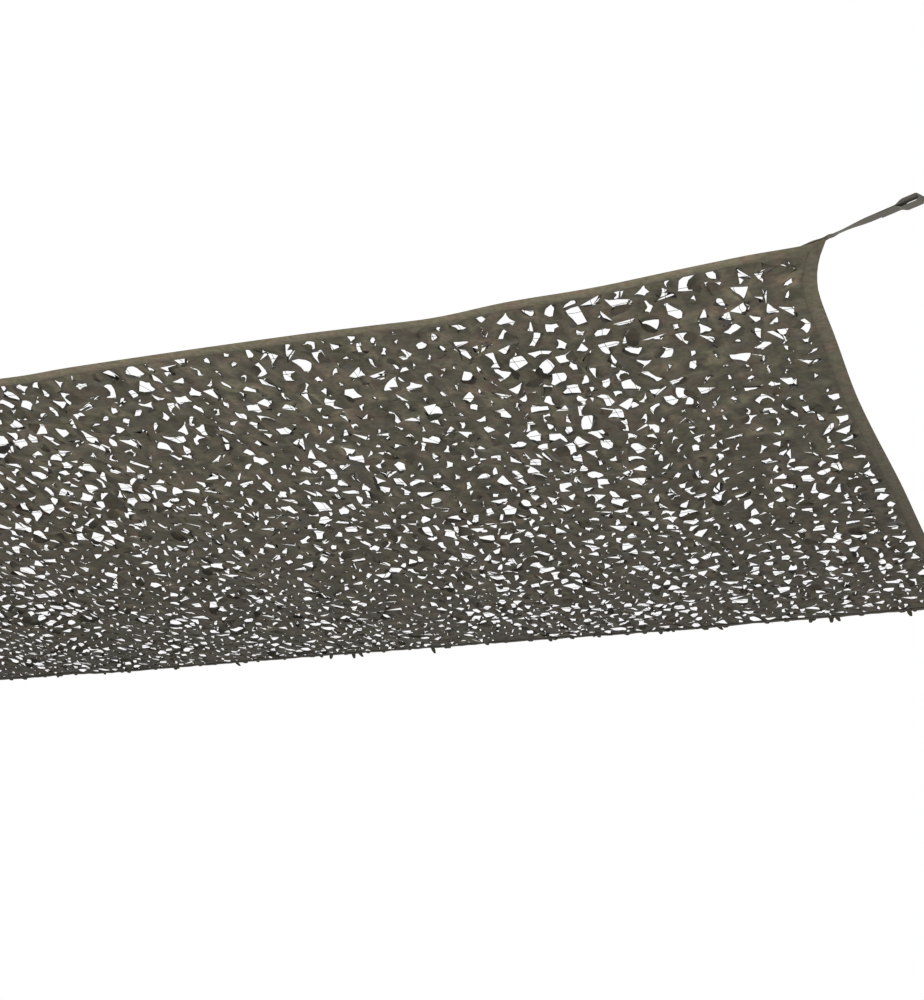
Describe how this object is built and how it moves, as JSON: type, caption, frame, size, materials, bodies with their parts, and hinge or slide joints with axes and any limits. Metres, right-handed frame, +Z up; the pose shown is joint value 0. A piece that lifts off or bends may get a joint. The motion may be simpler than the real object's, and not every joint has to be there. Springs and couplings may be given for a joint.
{
  "type": "shade sail of leaf-cut net",
  "caption": "Rectangular shade sail of leaf-cut net with a turned hem and a webbing strap with an eye at each corner, hung taut with a slight sag and slope.",
  "frame": {"origin": "centre of the near right strap's eye, where the sail is hung", "axes": "+X along the sail's long side to the right, +Y in depth away from the near edge, +Z up"},
  "size_m": [5.6148, 3.2483, 0.2659],
  "materials": {
    "net_cloth": "matte printed polyester, leaf-cut, olive drab with faint green and brown mottles",
    "webbing": "matte woven polyester webbing, olive drab",
    "string": "matte dark braided string",
    "thread": "matte sewing thread"
  },
  "bodies": {
    "root": {"net_sail": "net_cloth", "strap_near_right": "webbing", "strap_near_left": "webbing", "strap_far_right": "webbing", "strap_far_left": "webbing"}
  },
  "joints": []
}
